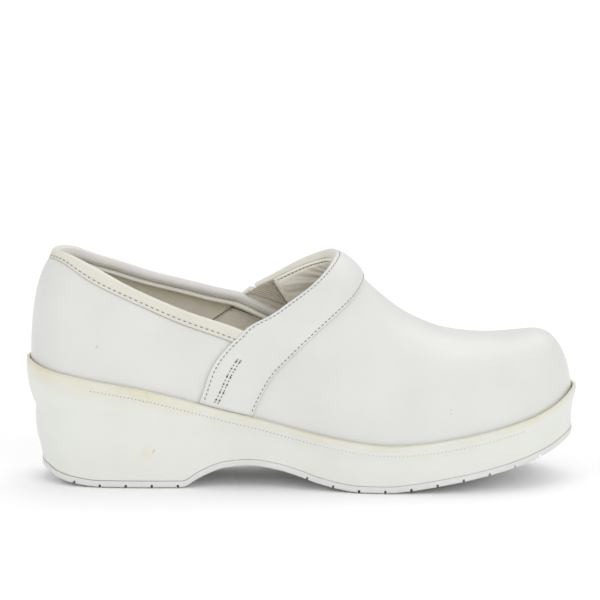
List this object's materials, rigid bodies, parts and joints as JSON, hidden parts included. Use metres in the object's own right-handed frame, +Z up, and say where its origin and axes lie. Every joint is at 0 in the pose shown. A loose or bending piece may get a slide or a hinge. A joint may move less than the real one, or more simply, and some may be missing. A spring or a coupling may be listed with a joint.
{
  "type": "clog",
  "caption": "White leather slip-on work clog for the right foot, with a padded collar, an instep band, an elastic gore and a thick moulded heeled sole.",
  "frame": {"origin": "middle of the shoe's box, on the floor it stands on", "axes": "+X from heel to toe, +Y towards the inner side of the foot, +Z up"},
  "size_m": [0.2758, 0.1008, 0.1152],
  "materials": {
    "white_leather": "smooth, satin",
    "binding_leather": "smooth, satin",
    "gore_elastic": "ribbed elastic",
    "insole_fabric": "matt textile",
    "moulded_sole": "satin polyurethane",
    "outsole_rubber": "matt"
  },
  "bodies": {
    "root": {"upper": "white_leather", "instep_band": "white_leather", "collar_binding": "binding_leather", "gore": "gore_elastic", "insole": "insole_fabric", "midsole": "moulded_sole", "outsole": "outsole_rubber"}
  },
  "joints": []
}
